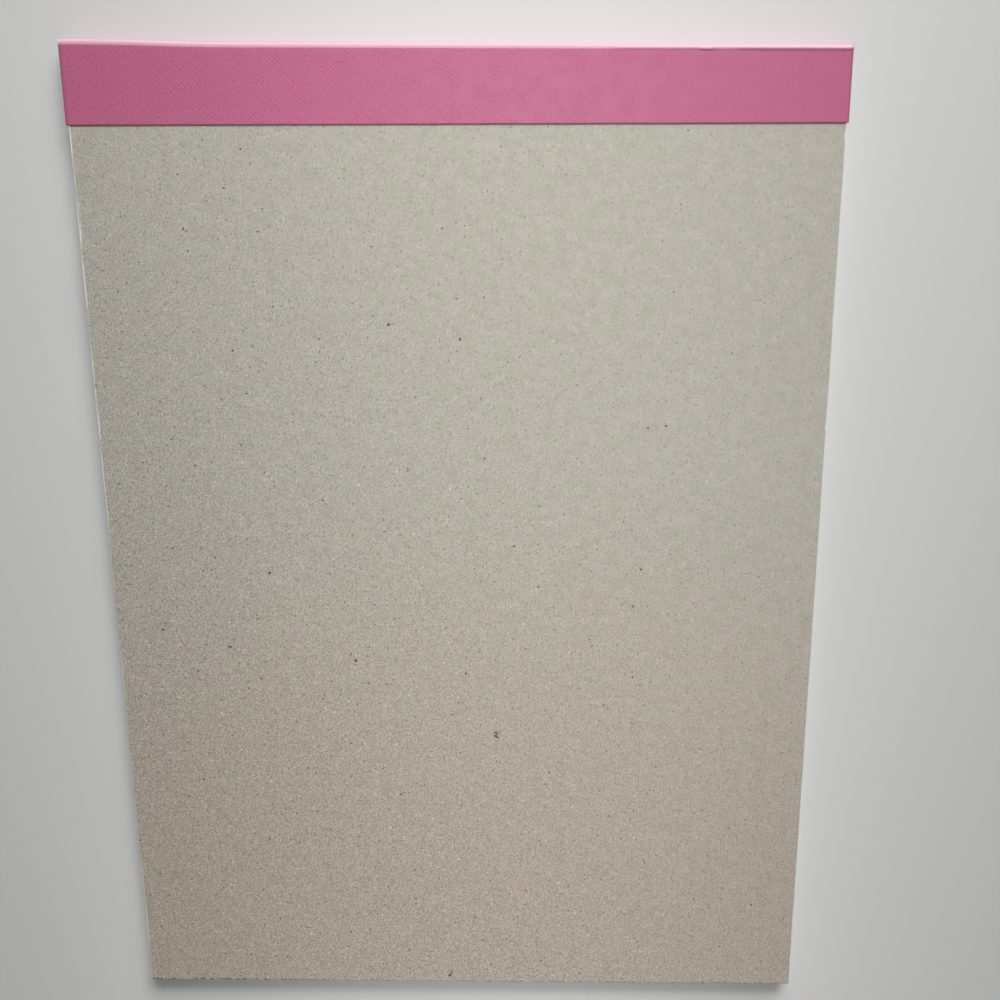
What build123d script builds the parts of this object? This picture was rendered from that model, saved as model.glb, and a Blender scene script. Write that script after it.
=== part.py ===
from build123d import *
import os

# A tape-bound legal pad, lying face down: a block of perforated sheets under a chipboard back,
# stitched with wire through the stub and closed by one strip of tape folded over the head.
# Millimetres. +Y points to the bound head, +Z up out of the board's back. The origin is at the
# centre of the bounding box's bottom, in the plane of the first sheet's face.

# sheets and board
sheet_width = 215.9
sheet_length = 298.45
sheet_count = 50
sheet_thickness = 0.085
board_thickness = 0.76

# binding tape: the back flap was put on a little crooked, so it is deeper at the left
tape_thickness = 0.25
back_flap_left = 21.6
back_flap_right = 19.9
front_flap = 17.5
fold_radius = 0.7

# perforation, a row of slits through every sheet, just clear of the front flap
perforation_from_head = 19.05
perforation_pitch = 2.54
slit_length = 1.9
slit_width = 0.2

# stitches of flat wire, driven from the front and turned in on the board
wire_width = 0.6
wire_thickness = 0.4
wire_clearance = 0.03
stitch_count = 2
stitch_spacing = 108.0
stitch_from_head = 9.0
stitch_width = 12.7
clinch_length = 4.5

cut_overrun = 1.0

# levels, counted up from the first sheet's face
block_thickness = sheet_count * sheet_thickness
stack_thickness = block_thickness + board_thickness

# places along the pad, from the foot to the tape's outside over the head
pad_length = sheet_length + tape_thickness
foot_y = -pad_length / 2
head_y = foot_y + sheet_length
front_edge_y = head_y - front_flap
perforation_y = head_y - perforation_from_head
stitch_y = head_y - stitch_from_head

half_width = sheet_width / 2
half_stitch = stitch_width / 2
seat_width = wire_width + 2 * wire_clearance
seat_depth = wire_thickness + 2 * wire_clearance
slit_count = int((sheet_width - slit_length) / perforation_pitch)

stitch_span = (stitch_count - 1) * stitch_spacing
stitch_places = [i * stitch_spacing - stitch_span / 2 for i in range(stitch_count)]
leg_places = [(x + side * half_stitch, stitch_y) for x in stitch_places for side in (-1, 1)]
clinch_places = [
    (x + side * (half_stitch - clinch_length / 2), stitch_y)
    for x in stitch_places
    for side in (-1, 1)
]

# The sheets are one block. At the stub the stitches squeeze it by the tape's thickness, so that
# the front flap lies level with the first sheet. The edge under the tape's fold is pressed round.
with BuildPart() as sheet_block:
    with BuildSketch(Plane.YZ):
        with BuildLine():
            Polyline(
                (foot_y, 0),
                (front_edge_y, 0),
                (front_edge_y, tape_thickness),
                (head_y, tape_thickness),
                (head_y, block_thickness),
                (foot_y, block_thickness),
                close=True,
            )
        make_face()
        fillet(vertices().group_by(Axis.X)[-1].sort_by(Axis.Y)[0], fold_radius)
    extrude(amount=half_width, both=True)

    # perforation
    with BuildSketch(Plane.XY.offset(-cut_overrun)):
        with Locations((0, perforation_y)):
            with GridLocations(perforation_pitch, 0, slit_count, 1):
                Rectangle(slit_length, slit_width)
    extrude(amount=block_thickness + 2 * cut_overrun, mode=Mode.SUBTRACT)

    # seats of the stitches: the crown pressed into the stub's front, the legs right through
    with BuildSketch(Plane.XY.offset(tape_thickness)):
        with Locations(*[(x, stitch_y) for x in stitch_places]):
            Rectangle(stitch_width + seat_depth, seat_width)
    extrude(amount=seat_depth, mode=Mode.SUBTRACT)
    with BuildSketch(Plane.XY.offset(tape_thickness)):
        with Locations(*leg_places):
            Rectangle(seat_depth, seat_width)
    extrude(amount=block_thickness, mode=Mode.SUBTRACT)

# The backing board, cut with the sheets, with its head edge pressed round under the fold
with BuildPart() as backing_board:
    with BuildSketch(Plane.YZ):
        with BuildLine():
            Polyline(
                (foot_y, block_thickness),
                (head_y, block_thickness),
                (head_y, stack_thickness),
                (foot_y, stack_thickness),
                close=True,
            )
        make_face()
        fillet(vertices().group_by(Axis.X)[-1].sort_by(Axis.Y)[-1], fold_radius)
    extrude(amount=half_width, both=True)

    # seats of the turned-in ends, and the holes of the legs
    with BuildSketch(Plane.XY.offset(stack_thickness)):
        with Locations(*clinch_places):
            Rectangle(clinch_length + seat_depth, seat_width)
    extrude(amount=-seat_depth, mode=Mode.SUBTRACT)
    with BuildSketch(Plane.XY.offset(stack_thickness)):
        with Locations(*leg_places):
            Rectangle(seat_depth, seat_width)
    extrude(amount=-stack_thickness, mode=Mode.SUBTRACT)

# The stitches: one bent wire each, its crown at the front and its ends turned in on the board
crown_z = tape_thickness + seat_depth / 2
clinch_z = stack_thickness - seat_depth / 2
bend_radius = wire_thickness / 2 + 2 * wire_clearance
with BuildPart() as wire_stitches:
    for stitch_x in stitch_places:
        with BuildLine(Plane((stitch_x, stitch_y, 0), x_dir=(1, 0, 0), z_dir=(0, -1, 0))) as wire:
            FilletPolyline(
                (-half_stitch + clinch_length, clinch_z),
                (-half_stitch, clinch_z),
                (-half_stitch, crown_z),
                (half_stitch, crown_z),
                (half_stitch, clinch_z),
                (half_stitch - clinch_length, clinch_z),
                radius=bend_radius,
            )
        with BuildSketch(Plane(wire.line @ 0, x_dir=(0, 1, 0), z_dir=wire.line % 0)):
            Rectangle(wire_width, wire_thickness)
        sweep(path=wire.line)

# The tape: one strip, folded over the board's edge and the first sheet's, then trimmed along the
# crooked edge of its back flap
with BuildPart() as binding_tape:
    with BuildSketch(Plane.YZ):
        with BuildLine():
            FilletPolyline(
                (head_y - back_flap_left, stack_thickness),
                (head_y, stack_thickness),
                (head_y, tape_thickness),
                (front_edge_y, tape_thickness),
                radius=fold_radius,
            )
            offset(amount=tape_thickness, side=Side.LEFT)
        make_face()
    extrude(amount=half_width, both=True)
    with BuildSketch(Plane.XY.offset(stack_thickness)):
        with BuildLine():
            Polyline(
                (-half_width, head_y - back_flap_left),
                (half_width, head_y - back_flap_left),
                (half_width, head_y - back_flap_right),
                close=True,
            )
        make_face()
    extrude(amount=tape_thickness + cut_overrun, mode=Mode.SUBTRACT)

os.makedirs("parts", exist_ok=True)
for name, piece in (
    ("sheet_block", sheet_block),
    ("backing_board", backing_board),
    ("wire_stitches", wire_stitches),
    ("binding_tape", binding_tape),
):
    piece.part.label = name
    export_step(piece.part, f"parts/{name}.step")
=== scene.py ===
import math
import random

import bmesh
import bpy
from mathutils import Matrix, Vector, noise


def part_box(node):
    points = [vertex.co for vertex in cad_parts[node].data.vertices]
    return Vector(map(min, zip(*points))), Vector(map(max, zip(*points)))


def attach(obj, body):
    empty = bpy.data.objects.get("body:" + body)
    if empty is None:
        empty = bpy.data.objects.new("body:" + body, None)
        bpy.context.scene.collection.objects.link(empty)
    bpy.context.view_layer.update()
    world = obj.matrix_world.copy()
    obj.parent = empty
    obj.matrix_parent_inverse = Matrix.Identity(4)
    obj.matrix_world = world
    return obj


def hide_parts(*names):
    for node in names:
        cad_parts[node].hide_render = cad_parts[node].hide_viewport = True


# A tape-bound legal pad lying face down: a grey chipboard back, a pink embossed tape folded over
# the head, fifty perforated sheets and two wire stitches under the tape.

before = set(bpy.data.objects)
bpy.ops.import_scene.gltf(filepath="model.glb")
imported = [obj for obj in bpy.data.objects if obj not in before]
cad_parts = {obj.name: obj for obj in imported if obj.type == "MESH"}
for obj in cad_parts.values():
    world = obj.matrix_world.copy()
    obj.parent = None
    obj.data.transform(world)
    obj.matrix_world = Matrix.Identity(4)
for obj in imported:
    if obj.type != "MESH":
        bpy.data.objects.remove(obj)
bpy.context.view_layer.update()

MM = 0.001
random.seed(11)

# the pad's outline and levels, in metres, from the frame
board_low, board_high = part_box("backing_board")
tape_low, tape_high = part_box("binding_tape")
half_width = board_high.x
foot_y = board_low.y
head_y = board_high.y
board_top = board_high.z
tape_thickness = tape_high.z - board_top

# the tape's cut and folds, and the dent in the fold, counted from the middle
back_flap_left = head_y - tape_low.y
back_flap_right = 20.15 * MM
front_flap = 17.5 * MM
fold_radius = 0.7 * MM
dent_place = 68.5 * MM

# the sheets
sheet_count = 50
perforation_from_head = 19.05 * MM

weld_distance = 0.0005 * MM
on_edge = 0.01 * MM


def linear(hex_colour):
    """An sRGB hex colour as linear red, green, blue and alpha."""
    parts = [int(hex_colour[i : i + 2], 16) / 255 for i in (1, 3, 5)]
    return [c / 12.92 if c <= 0.04045 else ((c + 0.055) / 1.055) ** 2.4 for c in parts] + [1.0]


def per_metre(size_mm):
    """The scale at which a texture repeats once in a length in millimetres."""
    return 1000.0 / size_mm


def fade(start, end, value):
    """0 before start and 1 after end, with a smooth rise between them."""
    t = min(max((value - start) / (end - start), 0.0), 1.0)
    return t * t * (3.0 - 2.0 * t)


def bump_at(place, middle, width):
    """A rounded hump of height 1 about a middle, dying out over its width."""
    return math.exp(-(((place - middle) / width) ** 2))


def ripple(along, across, size_mm, layer):
    """Smooth irregularity between -1 and 1 with swells of a size in millimetres."""
    return noise.noise(Vector((along * per_metre(size_mm), across * per_metre(size_mm), layer)))


def new_material(name):
    """An empty node material and its Principled shader."""
    material = bpy.data.materials.new(name)
    material.use_nodes = True
    return material, material.node_tree.nodes["Principled BSDF"]


def fill_inputs(owner, node, inputs):
    """Gives each input of a node a value, or a link from a socket."""
    for name, value in inputs.items():
        if isinstance(value, bpy.types.NodeSocket):
            owner.node_tree.links.new(value, node.inputs[name])
        else:
            node.inputs[name].default_value = value


def add_node(owner, kind, inputs, **settings):
    """Adds a node with its settings and inputs to a material or to the world."""
    node = owner.node_tree.nodes.new(kind)
    for name, value in settings.items():
        setattr(node, name, value)
    fill_inputs(owner, node, inputs)
    return node


# the marks of darker pulp that show largest on the board: place across and along, half the length
# and half the width, in mm, and turn in degrees. The largest mark is a curl, drawn as four strokes.
board_marks = (
    (-20.7, 72.7, 0.58, 0.52, 0),
    (0.0, 68.45, 0.6, 0.4, 80),
    (9.3, -56.7, 0.75, 0.32, 55),
    (9.85, -57.0, 0.6, 0.36, 110),
    (9.5, -58.0, 0.95, 0.42, -55),
    (10.2, -58.5, 0.6, 0.25, 0),
    (-34.2, -32.2, 0.85, 0.4, -62),
    (-59.6, -3.6, 0.6, 0.42, 45),
    (52.2, -13.7, 0.6, 0.32, 85),
    (54.4, -1.7, 0.55, 0.42, 20),
    (-73.4, -27.9, 0.85, 0.42, 0),
    (60.6, 43.1, 0.36, 0.34, 0),
    (-78.3, 99.5, 0.7, 0.23, 60),
    (-77.3, 93.4, 0.5, 0.25, 70),
    (-65.9, 110.9, 0.5, 0.32, 0),
    (-93.9, -22.3, 0.52, 0.46, 0),
    (0.2, -36.5, 0.6, 0.38, 90),
    (-66.4, 64.9, 0.42, 0.36, 0),
    (-6.7, -146.9, 0.95, 0.42, 40),
    (-6.25, -145.6, 0.85, 0.32, 70),
    (-60.5, 121.4, 0.45, 0.34, 0),
    (93.8, -118.9, 0.44, 0.42, 0),
)


def make_chipboard():
    """Grey chipboard, pressed from mixed waste paper and left uncoated: matt and softly
    clouded, with a fine grain, short pale and dark fibres lying every way, pale points, and dark
    specks of all sizes."""
    material, shader = new_material("grey_chipboard")
    coords = add_node(material, "ShaderNodeTexCoord", {}).outputs["Object"]

    mottle = add_node(
        material,
        "ShaderNodeTexNoise",
        {"Vector": coords, "Scale": per_metre(7.0), "Detail": 2.0},
        noise_dimensions="2D",
    ).outputs["Fac"]
    grain = add_node(
        material,
        "ShaderNodeTexNoise",
        {"Vector": coords, "Scale": per_metre(0.62), "Detail": 2.0, "Roughness": 0.7},
        noise_dimensions="2D",
    ).outputs["Fac"]
    tint = add_node(
        material, "ShaderNodeMapRange", {"Value": mottle, "From Min": 0.3, "From Max": 0.7}
    ).outputs[0]
    colour = add_node(
        material,
        "ShaderNodeMix",
        {0: tint, 6: linear("#B7B5A9"), 7: linear("#BBB4AB")},
        data_type="RGBA",
    ).outputs[2]
    clotted = add_node(
        material,
        "ShaderNodeTexNoise",
        {"Vector": coords, "Scale": per_metre(4.0), "Detail": 2.0, "Roughness": 0.65},
        noise_dimensions="2D",
    ).outputs["Fac"]
    clouds = add_node(
        material,
        "ShaderNodeMapRange",
        {"Value": clotted, "From Min": 0.7, "From Max": 0.3, "To Max": 0.3},
    ).outputs[0]
    colour = add_node(
        material,
        "ShaderNodeMix",
        {0: clouds, 6: colour, 7: linear("#9C988B")},
        data_type="RGBA",
    ).outputs[2]

    # the grain, dark points, fibres and finest specks are painted stronger towards the left and the
    # foot: painted relief shade and highlight, where the light grazes the board from the upper
    # right
    grazing_gradient = add_node(
        material,
        "ShaderNodeVectorMath",
        {0: coords, 1: (-0.27 / half_width, 0.35 / foot_y, 0.0)},
        operation="DOT_PRODUCT",
    ).outputs["Value"]
    grazing_shade_strength = add_node(
        material,
        "ShaderNodeMapRange",
        {"Value": grazing_gradient, "From Min": -0.36, "From Max": 0.34, "To Min": 0.26, "To Max": 0.6},
    ).outputs[0]
    pits = add_node(
        material,
        "ShaderNodeMapRange",
        {"Value": grain, "From Min": 0.52, "From Max": 0.24, "To Max": grazing_shade_strength},
    ).outputs[0]
    colour = add_node(
        material,
        "ShaderNodeMix",
        {0: pits, 6: colour, 7: linear("#8C877B")},
        data_type="RGBA",
    ).outputs[2]

    tooth = add_node(
        material,
        "ShaderNodeTexNoise",
        {"Vector": coords, "Scale": per_metre(0.38), "Detail": 0.0},
        noise_dimensions="2D",
    ).outputs["Fac"]
    # the dark points are also painted stronger towards the left and the foot, as painted relief
    # shade
    sharpness = add_node(
        material,
        "ShaderNodeMapRange",
        {"Value": grazing_gradient, "From Min": -0.3, "From Max": 0.3, "To Max": 0.95},
    ).outputs[0]
    points = add_node(
        material,
        "ShaderNodeMapRange",
        {"Value": tooth, "From Min": 0.46, "From Max": 0.3, "To Max": sharpness},
    ).outputs[0]
    colour = add_node(
        material,
        "ShaderNodeMix",
        {0: points, 6: colour, 7: linear("#847F73")},
        data_type="RGBA",
    ).outputs[2]

    # fibres: noise drawn out along a few directions, pale ones and dark ones, painted stronger
    # where the light grazes, as the grain is
    for turn, length, width, level, shade in (
        (0.5, 1.5, 0.42, 0.70, "#CBC7BB"),
        (2.0, 1.3, 0.42, 0.71, "#C8C4B8"),
        (1.2, 1.5, 0.42, 0.72, "#7F796D"),
    ):
        turned = add_node(
            material,
            "ShaderNodeMapping",
            {
                "Vector": coords,
                "Rotation": (0.0, 0.0, turn),
                "Scale": (length * MM, width * MM, length * MM),
            },
            vector_type="TEXTURE",
        ).outputs["Vector"]
        strands = add_node(
            material,
            "ShaderNodeTexNoise",
            {"Vector": turned, "Scale": 1.0, "Detail": 0.0},
            noise_dimensions="2D",
        ).outputs["Fac"]
        fibres = add_node(
            material,
            "ShaderNodeMapRange",
            {"Value": strands, "From Min": level, "From Max": level + 0.08, "To Max": grazing_shade_strength},
        ).outputs[0]
        colour = add_node(
            material,
            "ShaderNodeMix",
            {0: fibres, 6: colour, 7: linear(shade)},
            data_type="RGBA",
        ).outputs[2]

    # specks, one to a cell at most and many too small to see, made ragged by shaken coordinates
    shake = add_node(
        material,
        "ShaderNodeTexNoise",
        {"Vector": coords, "Scale": per_metre(0.9), "Detail": 1.0},
        noise_dimensions="2D",
    )
    shift = 1.2 * MM
    shaken = add_node(
        material,
        "ShaderNodeVectorMath",
        {0: shake.outputs["Color"], 1: (shift, shift, 0.0), 2: coords},
        operation="MULTIPLY_ADD",
    ).outputs[0]
    clots = add_node(
        material,
        "ShaderNodeMapRange",
        {"Value": clotted, "From Min": 0.35, "From Max": 0.65, "To Min": 0.5, "To Max": 1.5},
    ).outputs[0]
    # the finest specks are also painted stronger towards the left and the foot, as painted relief
    # shade and highlight
    share = add_node(
        material,
        "ShaderNodeMapRange",
        {"Value": grazing_gradient, "From Min": -0.3, "From Max": 0.2, "To Min": 0.32, "To Max": 0.68},
    ).outputs[0]
    peppery = add_node(
        material, "ShaderNodeMath", {0: share, 1: clots}, operation="MULTIPLY", use_clamp=True
    ).outputs[0]
    for cell, rarity, biggest, edge, amount, shade in (
        (1.3, 0.6, 0.22, 0.1, peppery, "#453F38"),
        (1.45, 0.5, 0.18, 0.1, peppery, "#D8D5CB"),
        (2.6, 0.7, 0.12, 0.16, 0.55, "#7A7367"),
        (8.0, 0.74, 0.048, 0.16, 0.75, "#453F38"),
    ):
        cells = add_node(
            material,
            "ShaderNodeTexVoronoi",
            {"Vector": shaken, "Scale": per_metre(cell)},
            voronoi_dimensions="2D",
        )
        chance = add_node(
            material, "ShaderNodeSeparateColor", {"Color": cells.outputs["Color"]}
        ).outputs["Red"]
        radius = add_node(
            material,
            "ShaderNodeMapRange",
            {"Value": chance, "From Min": rarity, "From Max": 1.0, "To Max": biggest},
        ).outputs[0]
        inside = add_node(
            material,
            "ShaderNodeMath",
            {0: radius, 1: cells.outputs["Distance"]},
            operation="SUBTRACT",
        ).outputs[0]
        specks = add_node(
            material,
            "ShaderNodeMapRange",
            {"Value": inside, "From Min": 0.0, "From Max": edge / cell, "To Max": amount},
        ).outputs[0]
        colour = add_node(
            material,
            "ShaderNodeMix",
            {0: specks, 6: colour, 7: linear(shade)},
            data_type="RGBA",
        ).outputs[2]

    # the largest marks, a little ragged too
    ruffle = 0.5 * MM
    ruffled = add_node(
        material,
        "ShaderNodeVectorMath",
        {0: shake.outputs["Color"], 1: (ruffle, ruffle, 0.0), 2: coords},
        operation="MULTIPLY_ADD",
    ).outputs[0]
    for across, along, length, width, turn in board_marks:
        turned = add_node(
            material,
            "ShaderNodeMapping",
            {
                "Vector": ruffled,
                "Location": (across * MM + ruffle / 2, along * MM + ruffle / 2, board_top),
                "Rotation": (0.0, 0.0, math.radians(turn)),
                "Scale": (length * MM, width * MM, 1.0),
            },
            vector_type="TEXTURE",
        ).outputs["Vector"]
        reach = add_node(
            material, "ShaderNodeVectorMath", {0: turned}, operation="LENGTH"
        ).outputs["Value"]
        mark = add_node(
            material,
            "ShaderNodeMapRange",
            {"Value": reach, "From Min": 1.0, "From Max": 0.45, "To Max": 0.95},
        ).outputs[0]
        colour = add_node(
            material,
            "ShaderNodeMix",
            {0: mark, 6: colour, 7: linear("#2A2620")},
            data_type="RGBA",
        ).outputs[2]

    # a warm tint painted towards the foot: painted light, bounced warm from the floor
    to_foot = add_node(
        material,
        "ShaderNodeVectorMath",
        {0: coords, 1: (0.0, -1.0, 0.0)},
        operation="DOT_PRODUCT",
    ).outputs["Value"]
    painted_warm_bounce = add_node(
        material,
        "ShaderNodeMapRange",
        {"Value": to_foot, "From Min": -30.0 * MM, "From Max": 110.0 * MM},
    ).outputs[0]
    colour = add_node(
        material,
        "ShaderNodeMix",
        {0: painted_warm_bounce, 6: colour, 7: linear("#FFF6F4")},
        data_type="RGBA",
        blend_type="MULTIPLY",
    ).outputs[2]

    # a painted shadow on the board along the tape's cut edge
    to_tape = add_node(
        material,
        "ShaderNodeVectorMath",
        {0: coords, 1: ((back_flap_right - back_flap_left) / (2 * half_width), 1.0, 0.0)},
        operation="DOT_PRODUCT",
    ).outputs["Value"]
    tape_line = head_y - (back_flap_left + back_flap_right) / 2
    painted_tape_shadow = add_node(
        material,
        "ShaderNodeMapRange",
        {
            "Value": to_tape,
            "From Min": tape_line - 0.55 * MM,
            "From Max": tape_line - 0.15 * MM,
            "To Max": 0.55,
        },
    ).outputs[0]
    colour = add_node(
        material,
        "ShaderNodeMix",
        {0: painted_tape_shadow, 6: colour, 7: linear("#7B5A5C")},
        data_type="RGBA",
    ).outputs[2]

    # the rims: worn until pale pulp shows, and darker dashes along the foot
    patchy = add_node(
        material,
        "ShaderNodeTexNoise",
        {"Vector": coords, "Scale": per_metre(11.0), "Detail": 3.0},
        noise_dimensions="2D",
    ).outputs["Fac"]
    rubs = add_node(
        material,
        "ShaderNodeMapRange",
        {"Value": patchy, "From Min": 0.4, "From Max": 0.56, "To Min": 0.25, "To Max": 1.0},
    ).outputs[0]
    dashes = add_node(
        material,
        "ShaderNodeMapRange",
        {"Value": shake.outputs["Fac"], "From Min": 0.46, "From Max": 0.56},
    ).outputs[0]
    for rim, least, most, spread, shade in (
        ("wear_and_painted_highlight", 0.45, 0.8, rubs, "#E6E4DF"),
        ("foot_dashes", 0.15, 0.5, dashes, "#4F4A42"),
    ):
        near_rim = add_node(
            material, "ShaderNodeAttribute", {}, attribute_name=rim
        ).outputs["Fac"]
        worn = add_node(
            material,
            "ShaderNodeMapRange",
            {"Value": near_rim, "From Min": least, "From Max": most, "To Max": spread},
        ).outputs[0]
        colour = add_node(
            material,
            "ShaderNodeMix",
            {0: worn, 6: colour, 7: linear(shade)},
            data_type="RGBA",
        ).outputs[2]

    relief = add_node(
        material,
        "ShaderNodeBump",
        {"Height": grain, "Strength": 0.3, "Distance": 0.06 * MM},
    ).outputs["Normal"]
    fill_inputs(
        material,
        shader,
        {"Base Color": colour, "Roughness": 0.9, "Specular IOR Level": 0.3, "Normal": relief},
    )
    return material


def make_embossed_tape():
    """Pink binding tape, a coated paper rolled with a linen emboss: a soft sheen that the crossed
    threads break into fine points, painted shade in the emboss's hollows, and a painted highlight
    along the fold. The threads are drawn a little coarser than real, to show."""
    material, shader = new_material("embossed_pink_tape")
    strip = add_node(material, "ShaderNodeUVMap", {}, uv_map="strip").outputs["UV"]

    threads = []
    for turn in (math.radians(45), math.radians(-45)):
        turned = add_node(
            material,
            "ShaderNodeMapping",
            {"Vector": strip, "Rotation": (0.0, 0.0, turn)},
        ).outputs["Vector"]
        threads.append(
            add_node(
                material,
                "ShaderNodeTexWave",
                {
                    "Vector": turned,
                    "Scale": per_metre(0.95) * math.pi / 10.0,
                    "Distortion": 6.0,
                    "Detail": 2.0,
                    "Detail Scale": 1.5,
                },
                wave_type="BANDS",
                bands_direction="X",
            ).outputs["Fac"]
        )
    crossed = add_node(
        material, "ShaderNodeMath", {0: threads[0], 1: threads[1]}, operation="ADD"
    ).outputs[0]
    cloudy = add_node(
        material,
        "ShaderNodeTexNoise",
        {"Vector": strip, "Scale": per_metre(4.5), "Detail": 2.0},
        noise_dimensions="2D",
    ).outputs["Fac"]
    depth = add_node(
        material,
        "ShaderNodeMapRange",
        {"Value": cloudy, "From Min": 0.4, "From Max": 0.62, "To Min": 0.1, "To Max": 0.6},
    ).outputs[0]
    centred = add_node(
        material, "ShaderNodeMath", {0: crossed, 1: 1.0}, operation="SUBTRACT"
    ).outputs[0]
    slubs = add_node(
        material,
        "ShaderNodeTexNoise",
        {"Vector": strip, "Scale": per_metre(0.8), "Detail": 1.0},
        noise_dimensions="2D",
    ).outputs["Fac"]
    uneven = add_node(
        material, "ShaderNodeMapRange", {"Value": slubs, "To Min": -0.7, "To Max": 0.7}
    ).outputs[0]
    threaded = add_node(
        material,
        "ShaderNodeMath",
        {0: centred, 1: depth, 2: uneven},
        operation="MULTIPLY_ADD",
    ).outputs[0]
    places = add_node(material, "ShaderNodeSeparateXYZ", {"Vector": strip})
    # the weave is drawn deeper at the left than at the right
    weave_depth_across = add_node(
        material,
        "ShaderNodeMapRange",
        {
            "Value": places.outputs["X"],
            "From Min": 10.0 * MM,
            "From Max": 80.0 * MM,
            "To Min": 0.9,
            "To Max": 0.55,
        },
    ).outputs[0]
    weave = add_node(
        material, "ShaderNodeMath", {0: threaded, 1: weave_depth_across}, operation="MULTIPLY"
    ).outputs[0]
    # the threads' crests painted lighter and their hollows darker: painted shade of the emboss,
    # added to its bump
    shade = add_node(
        material, "ShaderNodeMapRange", {"Value": weave, "From Min": -1.0, "From Max": 1.0}
    ).outputs[0]
    colour = add_node(
        material,
        "ShaderNodeMix",
        {0: shade, 6: linear("#A84C70"), 7: linear("#BF658A")},
        data_type="RGBA",
    ).outputs[2]

    # a painted highlight along the fold over the board's edge
    place = places.outputs["Y"]
    fold_place = back_flap_left - fold_radius
    highlight_on = add_node(
        material,
        "ShaderNodeMapRange",
        {"Value": place, "From Min": fold_place - 0.6 * MM, "From Max": fold_place - 0.2 * MM},
    ).outputs[0]
    highlight_off = add_node(
        material,
        "ShaderNodeMapRange",
        {
            "Value": place,
            "From Min": fold_place + 1.6 * MM,
            "From Max": fold_place + 0.8 * MM,
            "To Max": 0.9,
        },
    ).outputs[0]
    wear_and_painted_highlight = add_node(
        material, "ShaderNodeMath", {0: highlight_on, 1: highlight_off}, operation="MULTIPLY"
    ).outputs[0]
    colour = add_node(
        material,
        "ShaderNodeMix",
        {0: wear_and_painted_highlight, 6: colour, 7: linear("#D9ABBB")},
        data_type="RGBA",
    ).outputs[2]

    # painted shade at the ends, where the tape rounds down away from the light
    from_middle = add_node(
        material, "ShaderNodeMath", {0: places.outputs["X"]}, operation="ABSOLUTE"
    ).outputs[0]
    painted_end_shade = add_node(
        material,
        "ShaderNodeMapRange",
        {
            "Value": from_middle,
            "From Min": half_width - 0.6 * MM,
            "From Max": half_width - 0.1 * MM,
            "To Max": 0.5,
        },
    ).outputs[0]
    colour = add_node(
        material,
        "ShaderNodeMix",
        {0: painted_end_shade, 6: colour, 7: linear("#7A4C60")},
        data_type="RGBA",
    ).outputs[2]

    # painted shade in a short crease and in the crescent below the dent in the fold, and a painted
    # highlight on the dent's top
    for middle, along, length, width, amount, shade in (
        (-31.5 * MM, 16.7 * MM, 2.2 * MM, 0.26 * MM, 0.4, "#7E3B58"),
        (dent_place, fold_place - 0.7 * MM, 2.6 * MM, 0.45 * MM, 0.5, "#7E3B58"),
        (dent_place, fold_place - 0.2 * MM, 2.4 * MM, 0.4 * MM, 0.7, "#DCB1C3"),
    ):
        turned = add_node(
            material,
            "ShaderNodeMapping",
            {"Vector": strip, "Location": (middle, along, 0.0), "Scale": (length, width, 1.0)},
            vector_type="TEXTURE",
        ).outputs["Vector"]
        reach = add_node(
            material, "ShaderNodeVectorMath", {0: turned}, operation="LENGTH"
        ).outputs["Value"]
        painted_shade_and_highlight = add_node(
            material,
            "ShaderNodeMapRange",
            {"Value": reach, "From Min": 1.0, "From Max": 0.5, "To Max": amount},
        ).outputs[0]
        colour = add_node(
            material,
            "ShaderNodeMix",
            {0: painted_shade_and_highlight, 6: colour, 7: linear(shade)},
            data_type="RGBA",
        ).outputs[2]

    # the corner at the left end of the fold, worn down to pale paper
    from_corner = add_node(
        material,
        "ShaderNodeVectorMath",
        {0: strip, 1: (-half_width, fold_place + 0.35 * MM, 0.0)},
        operation="DISTANCE",
    ).outputs["Value"]
    bared = add_node(
        material,
        "ShaderNodeMapRange",
        {"Value": from_corner, "From Min": 0.85 * MM, "From Max": 0.45 * MM},
    ).outputs[0]
    colour = add_node(
        material,
        "ShaderNodeMix",
        {0: bared, 6: colour, 7: linear("#D8B8C4")},
        data_type="RGBA",
    ).outputs[2]

    relief = add_node(
        material,
        "ShaderNodeBump",
        {"Height": weave, "Strength": 0.5, "Distance": 0.05 * MM},
    ).outputs["Normal"]
    gloss = add_node(
        material,
        "ShaderNodeMapRange",
        {"Value": cloudy, "From Min": 0.3, "From Max": 0.7, "To Min": 0.46, "To Max": 0.54},
    ).outputs[0]
    fill_inputs(
        material,
        shader,
        {"Base Color": colour, "Roughness": gloss, "Specular IOR Level": 0.5, "Normal": relief},
    )
    return material


def make_tape_core():
    """The tape's cut edge: the bare paper under the pink coat, paler and fibrous."""
    material, shader = new_material("cut_edge_of_tape")
    coords = add_node(material, "ShaderNodeTexCoord", {}).outputs["Object"]
    fibres = add_node(
        material,
        "ShaderNodeTexNoise",
        {"Vector": coords, "Scale": per_metre(0.5), "Detail": 2.0},
    ).outputs["Fac"]
    colour = add_node(
        material,
        "ShaderNodeMix",
        {0: fibres, 6: linear("#C98FA6"), 7: linear("#EAD6DD")},
        data_type="RGBA",
    ).outputs[2]
    fill_inputs(material, shader, {"Base Color": colour, "Roughness": 0.85})
    return material


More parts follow.
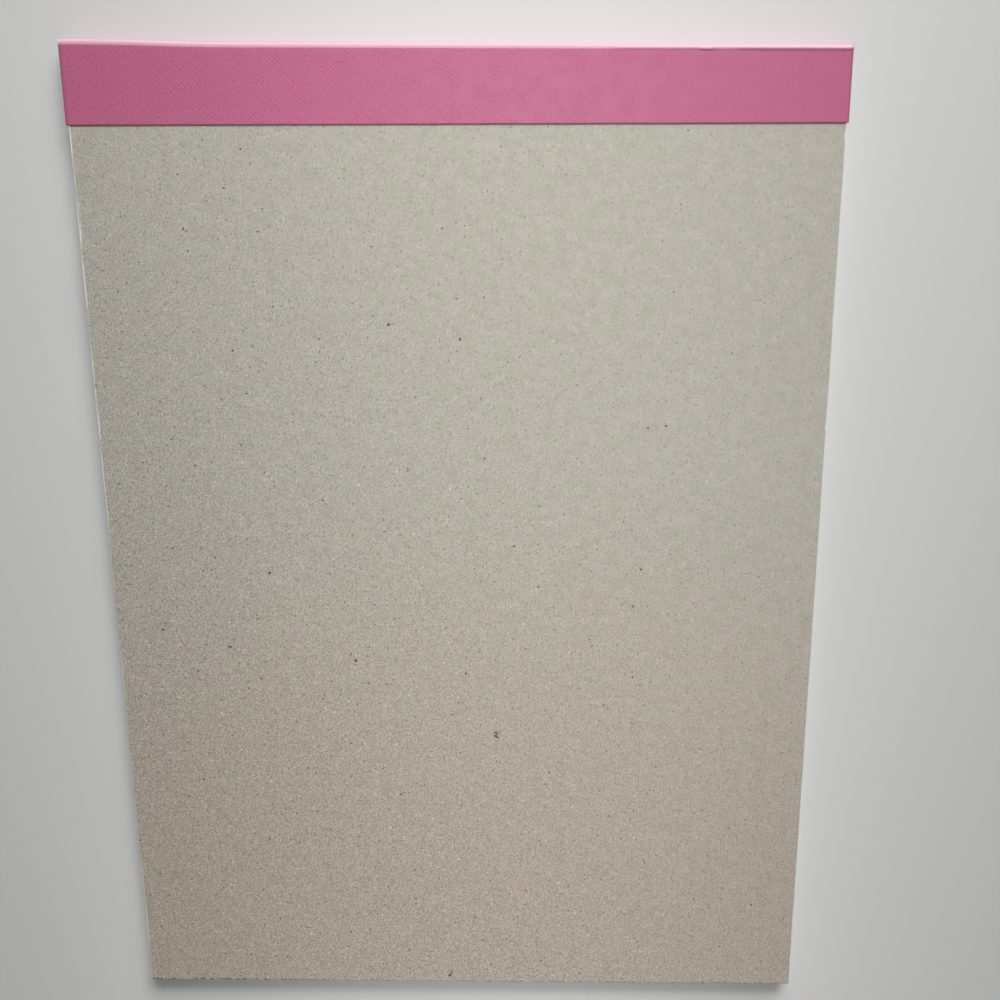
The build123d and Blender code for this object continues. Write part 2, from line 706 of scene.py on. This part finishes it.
def make_writing_paper():
    """White uncoated writing paper, seen at the edges of the stack: matt, each sheet a touch
    lighter or darker than the next."""
    material, shader = new_material("white_writing_paper")
    coords = add_node(material, "ShaderNodeTexCoord", {}).outputs["Object"]
    layered = add_node(
        material,
        "ShaderNodeMapping",
        {
            "Vector": coords,
            "Scale": (per_metre(60.0), per_metre(60.0), per_metre(0.34)),
        },
    ).outputs["Vector"]
    layers = add_node(
        material,
        "ShaderNodeTexNoise",
        {"Vector": layered, "Scale": 1.0, "Detail": 4.0, "Roughness": 0.6},
    ).outputs["Fac"]
    lighter = add_node(
        material, "ShaderNodeMapRange", {"Value": layers, "From Min": 0.35, "From Max": 0.65}
    ).outputs[0]
    colour = add_node(
        material,
        "ShaderNodeMix",
        {0: lighter, 6: linear("#E0E0DB"), 7: linear("#F0F0ED")},
        data_type="RGBA",
    ).outputs[2]
    fill_inputs(
        material,
        shader,
        {"Base Color": colour, "Roughness": 0.85, "Specular IOR Level": 0.35},
    )
    return material


def make_ruled_paper():
    """The first sheet's face: white writing paper printed with blue lines from side to side and
    a double red margin line."""
    material, shader = new_material("ruled_writing_paper")
    coords = add_node(material, "ShaderNodeTexCoord", {}).outputs["Object"]
    places = add_node(material, "ShaderNodeSeparateXYZ", {"Vector": coords})
    tooth = add_node(
        material,
        "ShaderNodeTexNoise",
        {"Vector": coords, "Scale": per_metre(0.6), "Detail": 3.0},
    ).outputs["Fac"]
    colour = add_node(
        material,
        "ShaderNodeMix",
        {0: tooth, 6: linear("#E9E9E5"), 7: linear("#F1F1EE")},
        data_type="RGBA",
    ).outputs[2]

    # the ruling, half its width and the head space in mm, drawn a little wider than real, to show
    rule_pitch = 8.73
    half_rule = 0.2
    head_space = 38.0
    first_rule = head_y - perforation_from_head - head_space * MM
    counted = add_node(
        material,
        "ShaderNodeMapRange",
        {
            "Value": places.outputs["Y"],
            "From Min": first_rule,
            "From Max": first_rule - rule_pitch * MM,
        },
        clamp=False,
    ).outputs[0]
    from_rule = add_node(
        material, "ShaderNodeMath", {0: counted, 1: 0.5}, operation="PINGPONG"
    ).outputs[0]
    on_rule = add_node(
        material, "ShaderNodeMath", {0: from_rule, 1: half_rule / rule_pitch}, operation="LESS_THAN"
    ).outputs[0]
    below_head = add_node(
        material, "ShaderNodeMath", {0: counted, 1: -0.5}, operation="GREATER_THAN"
    ).outputs[0]
    rules = add_node(
        material, "ShaderNodeMath", {0: on_rule, 1: below_head}, operation="MULTIPLY"
    ).outputs[0]
    colour = add_node(
        material,
        "ShaderNodeMix",
        {0: rules, 6: colour, 7: linear("#9DB7D6")},
        data_type="RGBA",
    ).outputs[2]
    for from_side in (31.0, 32.6):
        margin = add_node(
            material,
            "ShaderNodeMath",
            {0: places.outputs["X"], 1: half_width - from_side * MM, 2: half_rule * MM},
            operation="COMPARE",
        ).outputs[0]
        colour = add_node(
            material,
            "ShaderNodeMix",
            {0: margin, 6: colour, 7: linear("#D98C94")},
            data_type="RGBA",
        ).outputs[2]
    fill_inputs(
        material,
        shader,
        {"Base Color": colour, "Roughness": 0.85, "Specular IOR Level": 0.35},
    )
    return material


def make_stitching_wire():
    """Galvanised steel stitching wire: a dull grey metal, clouded by its zinc."""
    material, shader = new_material("galvanised_wire")
    coords = add_node(material, "ShaderNodeTexCoord", {}).outputs["Object"]
    zinc = add_node(
        material,
        "ShaderNodeTexNoise",
        {"Vector": coords, "Scale": per_metre(1.2), "Detail": 2.0},
    ).outputs["Fac"]
    colour = add_node(
        material,
        "ShaderNodeMix",
        {0: zinc, 6: linear("#9EA1A3"), 7: linear("#B9BBBC")},
        data_type="RGBA",
    ).outputs[2]
    gloss = add_node(
        material, "ShaderNodeMapRange", {"Value": zinc, "To Min": 0.32, "To Max": 0.48}
    ).outputs[0]
    fill_inputs(material, shader, {"Base Color": colour, "Metallic": 1.0, "Roughness": gloss})
    return material


def joined_copy(node):
    """A copy of a CAD node's mesh, with its loose triangles welded and joined into flat faces."""
    bm = bmesh.new()
    bm.from_mesh(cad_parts[node].data)
    bmesh.ops.remove_doubles(bm, verts=bm.verts, dist=weld_distance)
    bmesh.ops.dissolve_limit(
        bm, angle_limit=math.radians(0.5), verts=bm.verts[:], edges=bm.edges[:]
    )
    return bm


def at_side(point):
    """Which long side a point lies on: -1 left, 1 right, 0 neither."""
    return (point.x > half_width - on_edge) - (point.x < on_edge - half_width)


def at_foot(point):
    """Whether a point lies on the foot's edge."""
    return point.y < foot_y + on_edge


def cut_free_edges(bm, planes):
    """Cuts the walls along the two long sides and the foot by planes, each a point and a normal.
    The faces above and below only gain corners."""
    bm.normal_update()
    upright = [f for f in bm.faces if abs(f.normal.z) < 0.5]
    walls = [
        f
        for f in upright
        if all(at_side(v.co) for v in f.verts) or all(at_foot(v.co) for v in f.verts)
    ]
    cut = list({part for f in walls for part in [f, *f.edges, *f.verts]})
    for place, normal in planes:
        cut = bmesh.ops.bisect_plane(
            bm, geom=cut, dist=weld_distance, plane_co=place, plane_no=normal
        )["geom"]


def steps_between(low, high, count):
    """The places that part a length into equal steps, without its two ends."""
    return [low + (high - low) * i / count for i in range(1, count)]


def finish_piece(name, bm, materials, node):
    """Makes a shaped mesh a piece of the pad that stands for a CAD node."""
    mesh = bpy.data.meshes.new(name)
    bm.to_mesh(mesh)
    bm.free()
    for material in materials:
        mesh.materials.append(material)
    piece = bpy.data.objects.new(name, mesh)
    bpy.context.collection.objects.link(piece)
    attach(piece, "root")
    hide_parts(node)


def make_sheets():
    """The fifty sheets: the CAD block with its three free walls cut into sheets, each a little out
    of line with the next, and a groove between neighbours."""
    bm = joined_copy("sheet_block")
    low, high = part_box("sheet_block")
    pitch = (high.z - low.z) / sheet_count
    up = Vector((0, 0, 1))
    planes = [(Vector((0, 0, z)), up) for z in steps_between(low.z, high.z, 2 * sheet_count)]
    planes += [(Vector((0, y, 0)), Vector((0, 1, 0))) for y in steps_between(foot_y, head_y, 36)]
    planes += [
        (Vector((x, 0, 0)), Vector((1, 0, 0))) for x in steps_between(-half_width, half_width, 24)
    ]
    cut_free_edges(bm, planes)

    # each free edge of the stack drifts in and out a little from sheet to sheet
    drift_step = 0.045
    drift_kept = 0.85
    drifts = []
    for _ in range(3):
        drift = [0.0]
        for _ in range(sheet_count):
            drift.append(drift_kept * drift[-1] + random.uniform(-drift_step, drift_step) * MM)
        drifts.append(drift)
    groove = 0.03 * MM
    wave_height = 0.03 * MM
    lean = 0.22 * MM
    held_reach = 45.0 * MM
    for v in bm.verts:
        side = at_side(v.co)
        foot = at_foot(v.co)
        if not side and not foot:
            continue
        level = (v.co.z - low.z) / pitch
        leaf = min(int(level + 0.25), sheet_count - 1)
        between = abs(level - round(level)) < 0.1
        free = fade(0.0, held_reach, head_y - v.co.y)
        wave = wave_height * ripple(v.co.x, v.co.y, 40.0, leaf * 0.4)
        if side:
            shift = drifts[0 if side < 0 else 1][leaf] * free + wave * free
            v.co.x += side * (shift - (groove if between else 0.0)) - lean * free
        if foot:
            v.co.y -= drifts[2][leaf] + wave - (groove if between else 0.0)

    for f in bm.faces:
        if all(abs(v.co.z - low.z) < on_edge for v in f.verts):
            f.material_index = 1
    finish_piece(
        "sheets", bm, [make_writing_paper(), make_ruled_paper()], "sheet_block"
    )


def make_board():
    """The chipboard back: the CAD board with its cut edges broken by hand wear, ragged where pulp
    came away, and a few bites where the sheets show past it."""
    bm = joined_copy("backing_board")
    rim_start = head_y - 15.0 * MM
    cross = Vector((0, 1, 0))
    bmesh.ops.bisect_plane(
        bm,
        geom=bm.verts[:] + bm.edges[:] + bm.faces[:],
        dist=weld_distance,
        plane_co=(0, rim_start, 0),
        plane_no=cross,
    )
    planes = [(Vector((0, y, 0)), cross) for y in steps_between(foot_y, rim_start, 260)]
    planes += [
        (Vector((x, 0, 0)), Vector((1, 0, 0))) for x in steps_between(-half_width, half_width, 190)
    ]
    cut_free_edges(bm, planes)
    ring_width = 0.9 * MM
    rim_round = 0.12 * MM
    bm.normal_update()
    backs = [
        f
        for f in bm.faces
        if f.normal.z > 0.99 and all(v.co.y < rim_start + on_edge for v in f.verts)
    ]
    bmesh.ops.inset_region(
        bm,
        faces=backs,
        thickness=ring_width,
        depth=0.0,
        use_boundary=True,
        use_even_offset=True,
    )
    rims = [
        e
        for e in bm.edges
        if all(v.co.y < rim_start + on_edge for v in e.verts)
        and all(abs(v.co.z - board_top) < on_edge for v in e.verts)
        and (all(at_side(v.co) for v in e.verts) or all(at_foot(v.co) for v in e.verts))
    ]
    bmesh.ops.bevel(
        bm,
        geom=rims,
        offset=rim_round,
        affect="EDGES",
        segments=2,
        profile=0.5,
        material=-1,
        clamp_overlap=True,
    )
    near = ring_width + on_edge
    wear_and_painted_highlight = bm.verts.layers.float.new("wear_and_painted_highlight")
    foot_dashes = bm.verts.layers.float.new("foot_dashes")
    for v in bm.verts:
        raised = (v.co.z - board_low.z) / (board_top - board_low.z)
        v[wear_and_painted_highlight] = 0.6 + 0.4 * fade(-10.0 * MM, 60.0 * MM, v.co.y)
        v[wear_and_painted_highlight] *= 1.0 - fade(0.2 * MM, ring_width, v.co.x + half_width)
        v[wear_and_painted_highlight] += 0.55 * (1.0 - fade(0.2 * MM, ring_width, half_width - v.co.x))
        v[foot_dashes] = 0.4 + 0.6 * fade(-40.0 * MM, -90.0 * MM, v.co.x)
        v[foot_dashes] *= 1.0 - fade(0.25 * MM, ring_width, v.co.y - foot_y)
        if abs(v.co.x) > half_width - near and v.co.y < rim_start + on_edge:
            side = 1 if v.co.x > 0 else -1
            fray = 0.06 * ripple(v.co.y, v.co.z, 2.3, 3.0 * side)
            fray += 0.05 * ripple(v.co.y, v.co.z, 9.0, 5.0 * side)
            if side < 0:
                bite = 0.5 * bump_at(v.co.y, 103.5 * MM, 6.5 * MM)
                bite += 0.28 * fade(-0.15, 0.5, ripple(v.co.y, 0.0, 14.0, 7.7))
                bite *= 1.0 - fade(112.0 * MM, 122.0 * MM, v.co.y)
            else:
                bite = 0.5 * bump_at(v.co.y, 125.4 * MM, 1.2 * MM)
                bite += 0.45 * bump_at(v.co.y, 43.0 * MM, 0.7 * MM)
            v.co.x += side * (fray - bite * (0.35 + 0.65 * raised)) * MM
        if v.co.y < foot_y + near:
            fray = 0.07 * ripple(v.co.x, v.co.z, 2.1, 9.0)
            fray += 0.06 * ripple(v.co.x, v.co.z, 8.0, 11.0)
            v.co.y -= fray * MM
    finish_piece("board", bm, [make_chipboard()], "backing_board")


def make_tape():
    """The binding tape: one strip folded over the head. Its back flap was put on a little crooked,
    it stands slack at the left end of the fold, and up in a lip along the right of it."""
    loose_edge = 0.06 * MM
    blister = 0.12 * MM
    fold_slack = 0.65 * MM
    overhang_left = 0.65 * MM
    overhang_right = 0.6 * MM
    cut_round = 0.15 * MM
    bm = bmesh.new()
    along = bm.verts.layers.float.new("along")

    # the strip's inner face at the left end, from the back flap's cut edge round to the front's
    end = bm.verts.new((-half_width, head_y - back_flap_left, board_top))

    def run_to(y, z, steps, ease):
        """Carries the section straight on, its steps closing up towards the far end by ease."""
        nonlocal end
        start = end.co.copy()
        for i in range(1, steps + 1):
            t = 1.0 - (1.0 - i / steps) ** ease
            target = start.lerp(Vector((-half_width, y, z)), t)
            made = bmesh.ops.extrude_vert_indiv(bm, verts=[end])["verts"][0]
            made.co = target
            end = made

    def fold_about(y, z, steps):
        """Carries the section a quarter turn round a fold."""
        nonlocal end
        made = bmesh.ops.spin(
            bm,
            geom=[end],
            cent=(-half_width, y, z),
            axis=(1, 0, 0),
            angle=-math.pi / 2,
            steps=steps,
        )["geom_last"]
        end = [part for part in made if isinstance(part, bmesh.types.BMVert)][0]

    run_to(head_y - back_flap_left + 0.4 * MM, board_top, 1, 1.0)
    run_to(head_y - fold_radius, board_top, 22, 2.2)
    fold_about(head_y - fold_radius, board_top - fold_radius, 9)
    run_to(head_y, tape_thickness + fold_radius, 5, 1.0)
    fold_about(head_y - fold_radius, tape_thickness + fold_radius, 7)
    run_to(head_y - front_flap, tape_thickness, 9, 1.0)
    bmesh.ops.remove_doubles(bm, verts=bm.verts, dist=weld_distance)

    # how far each corner of the section lies from the back flap's cut edge, measured on the strip
    bm.verts.ensure_lookup_table()
    here = min(bm.verts, key=lambda v: (v.co.y, -v.co.z))
    before = None
    while here:
        onward = [e.other_vert(here) for e in here.link_edges if e.other_vert(here) is not before]
        if onward:
            onward[0][along] = here[along] + (onward[0].co - here.co).length
        before, here = here, onward[0] if onward else None

    # drawn out across the pad and divided
    drawn = bmesh.ops.extrude_edge_only(bm, edges=bm.edges[:])["geom"]
    bmesh.ops.translate(
        bm,
        vec=(2 * half_width, 0, 0),
        verts=[part for part in drawn if isinstance(part, bmesh.types.BMVert)],
    )
    across = [e for e in bm.edges if abs(e.verts[0].co.x - e.verts[1].co.x) > half_width]
    bmesh.ops.subdivide_edges(bm, edges=across, cuts=215, use_grid_fill=True)
    bmesh.ops.recalc_face_normals(bm, faces=bm.faces)
    if sum(f.normal.z * f.calc_area() for f in bm.faces if f.calc_center_median().z > 3 * MM) < 0:
        bmesh.ops.reverse_faces(bm, faces=bm.faces[:])

    strip = bm.loops.layers.uv.new("strip")
    for f in bm.faces:
        for loop in f.loops:
            loop[strip].uv = (loop.vert.co.x, loop.vert[along])

    fold_start = head_y - fold_radius
    for v in bm.verts:
        x, y, z = v.co
        from_left = x + half_width
        share = from_left / (2 * half_width)
        on_back = z > board_top - on_edge and y < fold_start + on_edge
        on_front = z < tape_thickness + on_edge and y < fold_start + on_edge
        if on_back:
            flap = back_flap_left + (back_flap_right - back_flap_left) * share - fold_radius
            v.co.y = fold_start - (fold_start - y) * flap / (back_flap_left - fold_radius)
            if y < head_y - back_flap_left + on_edge:
                v.co.y += 0.05 * MM * ripple(x, 0.0, 12.0, 1.5)
            # its cut edge isn't quite pressed down
            from_cut = y - (head_y - back_flap_left)
            v.co.z += loose_edge * (1.0 - fade(0.0, 2.0 * MM, from_cut))
            inward = fade(0.0, 1.5 * MM, fold_start - v.co.y)
            v.co.z += 0.03 * MM * inward * (1.0 + ripple(x, y, 14.0, 2.5))
            # a soft blister beside the fold
            swollen = blister * bump_at(x, 52.0 * MM, 16.0 * MM)
            v.co.z += swollen * bump_at(v.co.y, head_y - 2.6 * MM, 1.6 * MM)
        # slack in the fold at the left end
        slack = fold_slack * (1.0 - fade(4.0 * MM, 46.0 * MM, from_left))
        pull = fade(head_y - 7.0 * MM, head_y - 0.5 * MM, v.co.y)
        if z < board_top - fold_radius:
            pull *= fade(tape_thickness, board_top, z)
        if not on_front:
            v.co.y += slack * pull
        # the fold stands up in a lip along its right end, and is dented at one place
        lip = 0.2 * fade(40.0 * MM, 46.0 * MM, x) + 0.07 * fade(75.5 * MM, 78.0 * MM, x)
        lip -= 0.1 * bump_at(x, 73.8 * MM, 1.8 * MM)
        dent = bump_at(x, dent_place, 1.7 * MM)
        if z > board_top - fold_radius:
            ridge = fold_start - (0.05 + 0.12 * dent) * MM
            v.co.z += (lip + 0.08 * dent) * MM * bump_at(v.co.y, ridge, 0.5 * MM)
        # the ends stand a little past the sheets
        v.co.x += overhang_right * fade(-2.0 * MM, 0.0, x - half_width)
        v.co.x -= overhang_left * fade(-2.0 * MM, 0.0, -x - half_width)

    bmesh.ops.solidify(bm, geom=bm.faces[:], thickness=-tape_thickness)
    bmesh.ops.recalc_face_normals(bm, faces=bm.faces)
    strip_length = max(v[along] for v in bm.verts)
    for f in bm.faces:
        at_end = all(abs(v.co.x) > half_width + 0.5 * MM for v in f.verts)
        at_back_cut = all(v[along] < on_edge for v in f.verts)
        at_front_cut = all(v[along] > strip_length - on_edge for v in f.verts)
        f.smooth = not (at_end or at_back_cut or at_front_cut)
        f.material_index = 0 if f.smooth else 1

    # the outer edge of each cut, rounded by the knife and by hands
    heart = Vector((0, head_y - 5.0 * MM, board_top / 2))
    outer_rims = [
        e
        for e in bm.edges
        if sum(f.smooth for f in e.link_faces) == 1
        and any(
            f.smooth and f.normal.dot(f.calc_center_median() - heart) > 0 for f in e.link_faces
        )
    ]
    rounded = bmesh.ops.bevel(
        bm,
        geom=outer_rims,
        offset=cut_round,
        affect="EDGES",
        segments=2,
        profile=0.5,
        material=-1,
        clamp_overlap=True,
    )["faces"]
    for f in rounded:
        f.material_index = 0
    for f in bm.faces:
        f.smooth = f.material_index == 0
    for e in bm.edges:
        e.smooth = all(f.smooth for f in e.link_faces)
    finish_piece(
        "tape", bm, [make_embossed_tape(), make_tape_core()], "binding_tape"
    )


make_board()
make_sheets()
make_tape()
wire = make_stitching_wire()
for material_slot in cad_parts["wire_stitches"].material_slots:
    material_slot.material = wire

# the room behind the floor, as the eye sees it and as it lights the pad. The floor fades into it
# between two distances from the pad's middle, in metres, and lies a hair under the sheets.
room_colour = linear("#F2F3F5")
room_seen = 0.53
room_light = 0.13
fade_from = 0.3
fade_to = 0.85
floor_reach = 4.0
floor_drop = 0.02 * MM


def seen_rays(owner):
    """1 for the rays that show a surface, straight or in gloss or glass, 0 for those that light."""
    path = add_node(owner, "ShaderNodeLightPath", {})
    seen = path.outputs["Is Camera Ray"]
    for kind in ("Is Glossy Ray", "Is Transmission Ray"):
        seen = add_node(
            owner, "ShaderNodeMath", {0: seen, 1: path.outputs[kind]}, operation="MAXIMUM"
        ).outputs[0]
    return seen


def make_floor_material():
    """A pale painted floor, matt, that fades into the room well away from the pad."""
    material, shader = new_material("pale_floor")
    fill_inputs(
        material,
        shader,
        {"Base Color": linear("#D3D3D1"), "Roughness": 0.9, "Specular IOR Level": 0.2},
    )
    coords = add_node(material, "ShaderNodeTexCoord", {}).outputs["Object"]
    away = add_node(
        material, "ShaderNodeVectorMath", {0: coords}, operation="LENGTH"
    ).outputs["Value"]
    faded = add_node(
        material,
        "ShaderNodeMapRange",
        {"Value": away, "From Min": fade_from, "From Max": fade_to, "To Max": seen_rays(material)},
        interpolation_type="SMOOTHSTEP",
    ).outputs[0]
    room = add_node(
        material, "ShaderNodeEmission", {"Color": room_colour, "Strength": room_seen}
    ).outputs["Emission"]
    surface = add_node(
        material, "ShaderNodeMixShader", {0: faded, 1: shader.outputs["BSDF"], 2: room}
    ).outputs["Shader"]
    fill_inputs(material, material.node_tree.nodes["Material Output"], {"Surface": surface})
    return material


floor_mesh = bpy.data.meshes.new("floor")
bm = bmesh.new()
bmesh.ops.create_grid(bm, x_segments=1, y_segments=1, size=floor_reach)
bmesh.ops.translate(bm, vec=(0, 0, -floor_drop), verts=bm.verts)
bm.to_mesh(floor_mesh)
bm.free()
floor_mesh.materials.append(make_floor_material())
floor = bpy.data.objects.new("floor", floor_mesh)
bpy.context.collection.objects.link(floor)


def add_softbox(name, place, target, width, height, power, spread):
    """A large soft lamp that faces a point, with its light spread over an angle in degrees."""
    data = bpy.data.lights.new(name, "AREA")
    data.shape = "RECTANGLE"
    data.size = width
    data.size_y = height
    data.energy = power
    data.spread = math.radians(spread)
    lamp = bpy.data.objects.new(name, data)
    lamp.location = place
    lamp.rotation_euler = (Vector(target) - Vector(place)).to_track_quat("-Z", "Y").to_euler()
    lamp.visible_camera = False
    bpy.context.collection.objects.link(lamp)


add_softbox("head_light", (0.42, 1.60, 0.87), (0, 0, 0), 1.4, 0.85, 8.5, 70)
add_softbox("strip_light", (0.015, 0.04, 0.70), (0.015, 0.04, 0), 0.16, 0.9, 0.232, 27)

world = bpy.data.worlds.new("studio")
world.use_nodes = True
strength = add_node(
    world,
    "ShaderNodeMapRange",
    {"Value": seen_rays(world), "To Min": room_light, "To Max": room_seen},
).outputs[0]
fill_inputs(
    world, world.node_tree.nodes["Background"], {"Color": room_colour, "Strength": strength}
)
bpy.context.scene.world = world

# the camera, over the head and looking down at the board
camera_data = bpy.data.cameras.new("camera")
camera_data.sensor_width = 36.0
camera_data.lens = 42.587
camera_data.shift_x = -0.0466
camera_data.clip_start = 0.01
camera = bpy.data.objects.new("camera", camera_data)
camera.location = (27.2077 * MM, 114.5552 * MM, 348.7801 * MM)
camera.rotation_euler = [math.radians(a) for a in (-15.3417, 0.3667, 0.2120)]
bpy.context.collection.objects.link(camera)
bpy.context.scene.camera = camera
bpy.context.scene.view_settings.view_transform = "Standard"
